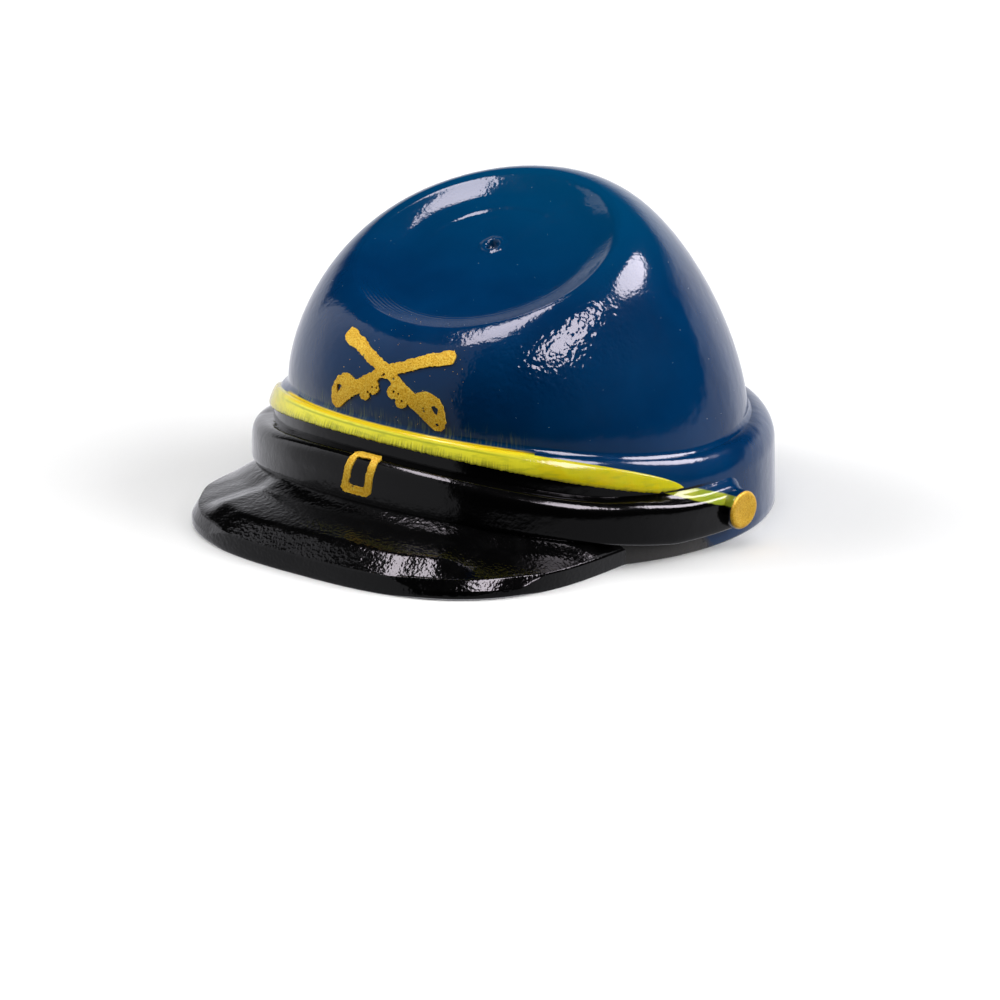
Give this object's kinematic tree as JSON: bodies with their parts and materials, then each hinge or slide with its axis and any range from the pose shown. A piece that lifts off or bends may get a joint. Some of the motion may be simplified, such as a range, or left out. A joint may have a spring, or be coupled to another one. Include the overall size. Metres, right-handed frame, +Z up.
{
  "type": "kepi cap",
  "caption": "Toy figure's kepi cap: leaning crown with a dished top, ledge band, peak, chin strap, side buttons, buckle and crossed sabres badge.",
  "frame": {"origin": "middle of the bounding box's bottom face, on the surface that the rim and the peak's lower edge rest on", "axes": "+Z up, -Y to the cap's front (the peak), +X to the wearer's left"},
  "size_m": [0.014, 0.0156, 0.0081],
  "materials": {
    "blue_gloss": "glossy dark blue paint with a fine orange-peel surface",
    "black_gloss": "glossy black paint",
    "yellow_paint": "brushed yellow paint",
    "gold_ink": "speckled gold ink"
  },
  "bodies": {
    "root": {"crown": "blue_gloss", "band": "blue_gloss", "peak": "black_gloss", "chin_strap": "black_gloss", "hat_cord": "yellow_paint", "side_button_left": "gold_ink", "side_button_right": "gold_ink", "strap_buckle": "gold_ink", "crossed_sabres": "gold_ink"}
  },
  "joints": []
}
